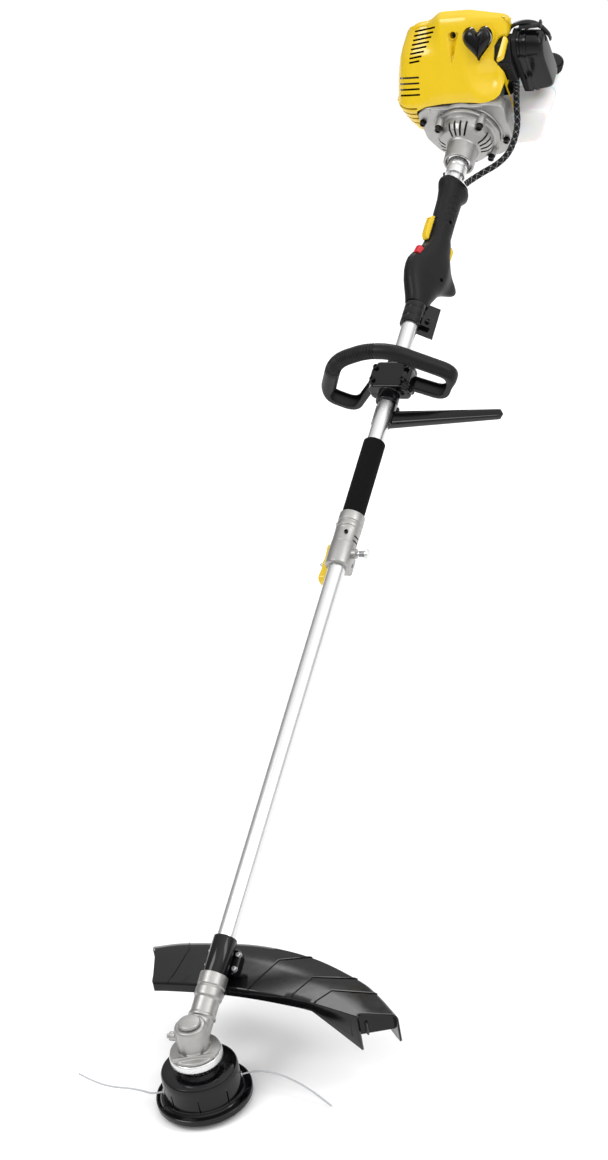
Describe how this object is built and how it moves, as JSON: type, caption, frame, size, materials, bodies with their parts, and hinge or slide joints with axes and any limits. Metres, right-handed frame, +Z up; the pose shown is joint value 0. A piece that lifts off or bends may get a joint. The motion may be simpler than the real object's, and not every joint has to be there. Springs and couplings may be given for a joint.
{
  "type": "string trimmer",
  "caption": "Petrol string trimmer with a split aluminium shaft, loop and rear handles, yellow-covered engine, debris guard and bump-feed line head",
  "frame": {"origin": "on the spindle axis, at the flat underside of the bump knob, where the cutting head touches the ground", "axes": "+Z up along the cutting head's spindle, +Y from the head toward the engine, +X toward the operator's left"},
  "size_m": [0.4303, 1.6106, 1.1023],
  "materials": {
    "matte_black": "moulded black plastic, fine grain",
    "gloss_black": "glossy black plastic",
    "cast_aluminium": "die-cast aluminium, as cast",
    "bright_aluminium": "satin drawn aluminium",
    "steel": "turned steel",
    "yellow_plastic": "gloss yellow plastic",
    "red_plastic": "red switch plastic",
    "foam": "black foam rubber sleeve",
    "tank_plastic": "milky polyethylene",
    "nylon": "grey nylon line",
    "rubber": "black rubber"
  },
  "bodies": {
    "root": {"coupler": "cast_aluminium", "upper_tube": "bright_aluminium", "foam_grip": "foam", "handle_clamp": "gloss_black", "rear_handle_right": "matte_black", "rear_handle_left": "matte_black", "tube_socket": "bright_aluminium", "clutch_housing": "cast_aluminium", "fan_housing": "cast_aluminium", "crankcase": "cast_aluminium", "cylinder": "cast_aluminium", "piston": "cast_aluminium", "connecting_rod": "steel", "engine_cover": "yellow_plastic", "spark_plug": "steel", "spark_plug_boot": "gloss_black", "muffler": "steel", "starter_housing": "matte_black", "carburettor": "cast_aluminium", "air_filter_base": "matte_black", "air_filter_cover": "gloss_black", "fuel_tank": "tank_plastic", "control_conduit": "rubber"},
    "attachment": {"lower_tube": "bright_aluminium", "gearbox_housing": "cast_aluminium", "gearbox_cap": "cast_aluminium", "spindle_bearing": "steel", "guard": "gloss_black", "guard_bracket": "gloss_black", "line_cutter": "steel"},
    "cutting_head": {"spool_housing": "matte_black", "spool": "matte_black", "spool_spring": "steel", "eyelet_left": "bright_aluminium", "eyelet_right": "bright_aluminium", "trimmer_line_left": "nylon", "trimmer_line_right": "nylon", "drive_flange": "bright_aluminium", "output_shaft": "steel", "output_gear": "steel"},
    "tap_knob": {"bump_knob": "gloss_black"},
    "lower_drive": {"pinion": "steel", "lower_drive_shaft": "steel"},
    "upper_drive": {"upper_drive_shaft": "steel", "clutch_drum": "steel"},
    "crank": {"crankshaft": "steel", "flywheel": "cast_aluminium", "clutch_shoes": "steel"},
    "front_handle": {"loop_handle": "matte_black", "handle_bracket": "gloss_black", "barrier_bar": "gloss_black"},
    "coupler_pin": {"pull_pin": "bright_aluminium"},
    "coupler_knob": {"wing_knob": "yellow_plastic"},
    "trigger": {"throttle_trigger": "yellow_plastic"},
    "lockout": {"lockout_lever": "yellow_plastic"},
    "switch": {"stop_switch": "red_plastic"},
    "choke": {"choke_lever": "matte_black"},
    "starter_handle": {"starter_grip": "rubber"},
    "pulley": {"starter_pulley": "matte_black"},
    "filler_cap": {"fuel_cap": "matte_black"}
  },
  "joints": [
    {"name": "attachment_slide", "type": "slide", "parent": "root", "child": "attachment", "axis": [0, -0.8599, -0.5105], "range_m": [0, 0.058]},
    {"name": "head_spin", "type": "hinge", "parent": "attachment", "child": "cutting_head", "pos_m": [0, 0, 0.09], "axis": [0, 0, 1], "continuous": true},
    {"name": "lower_drive_spin", "type": "hinge", "parent": "attachment", "child": "lower_drive", "pos_m": [0, 0.34394, 0.29422], "axis": [0, 0.8599, 0.5105], "continuous": true},
    {"name": "upper_drive_spin", "type": "hinge", "parent": "root", "child": "upper_drive", "pos_m": [0, 1.03182, 0.70265], "axis": [0, 0.8599, 0.5105], "continuous": true},
    {"name": "knob_press", "type": "slide", "parent": "cutting_head", "child": "tap_knob", "axis": [0, 0, 1], "range_m": [0, 0.0055], "stiffness_N_per_m": 1500, "springref_m": -0.004, "deforming": ["spool_spring"]},
    {"name": "crank_spin", "type": "hinge", "parent": "root", "child": "crank", "pos_m": [0, 1.41876, 0.9324], "axis": [0, 0.8599, 0.5105], "continuous": true},
    {"name": "pin_pull", "type": "slide", "parent": "root", "child": "coupler_pin", "axis": [1, 0, 0], "range_m": [0, 0.007], "stiffness_N_per_m": 1200, "springref_m": -0.003},
    {"name": "knob_turn", "type": "hinge", "parent": "root", "child": "coupler_knob", "pos_m": [-0.019, 0.66179, 0.45619], "axis": [1, 0, 0], "continuous": true},
    {"name": "handle_slide", "type": "slide", "parent": "root", "child": "front_handle", "axis": [0, 0.8599, 0.5105], "range_m": [-0.03, 0.05]},
    {"name": "trigger_squeeze", "type": "hinge", "parent": "root", "child": "trigger", "pos_m": [0.01014, 1.18738, 0.76972], "axis": [-0.9063, 0.2158, -0.3634], "range_deg": [0, 12], "stiffness_Nm_per_rad": 0.4, "springref_deg": -5.73},
    {"name": "lockout_press", "type": "hinge", "parent": "root", "child": "lockout", "pos_m": [-0.00824, 1.15436, 0.79596], "axis": [-0.9063, 0.2158, -0.3634], "range_deg": [0, 4], "stiffness_Nm_per_rad": 0.4, "springref_deg": -5.73},
    {"name": "stop_slide", "type": "slide", "parent": "root", "child": "switch", "axis": [0, 0.8599, 0.5105], "range_m": [0, 0.0045]},
    {"name": "choke_turn", "type": "hinge", "parent": "root", "child": "choke", "pos_m": [0.107, 1.3932, 1.06946], "axis": [0, -0.5105, 0.8599], "range_deg": [0, 40]},
    {"name": "starter_pull", "type": "slide", "parent": "root", "child": "starter_handle", "axis": [0, -0.5105, 0.8599], "range_m": [0, 0.35], "stiffness_N_per_m": 15, "springref_m": -0.2},
    {"name": "pulley_spin", "type": "hinge", "parent": "root", "child": "pulley", "pos_m": [0, 1.49012, 0.97477], "axis": [0, 0.8599, 0.5105], "range_deg": [0, 660]},
    {"name": "cap_turn", "type": "hinge", "parent": "root", "child": "filler_cap", "pos_m": [0.112, 1.49249, 0.96687], "axis": [0.4202, -0.4633, 0.7803], "range_deg": [0, 360]}
  ],
  "couplings": [
    {"joint": "lower_drive_spin", "follows": "head_spin", "ratio": -1.3333},
    {"joint": "upper_drive_spin", "follows": "head_spin", "ratio": -1.3333},
    {"joint": "pulley_spin", "follows": "starter_pull", "rad_per_m": 32.8}
  ]
}
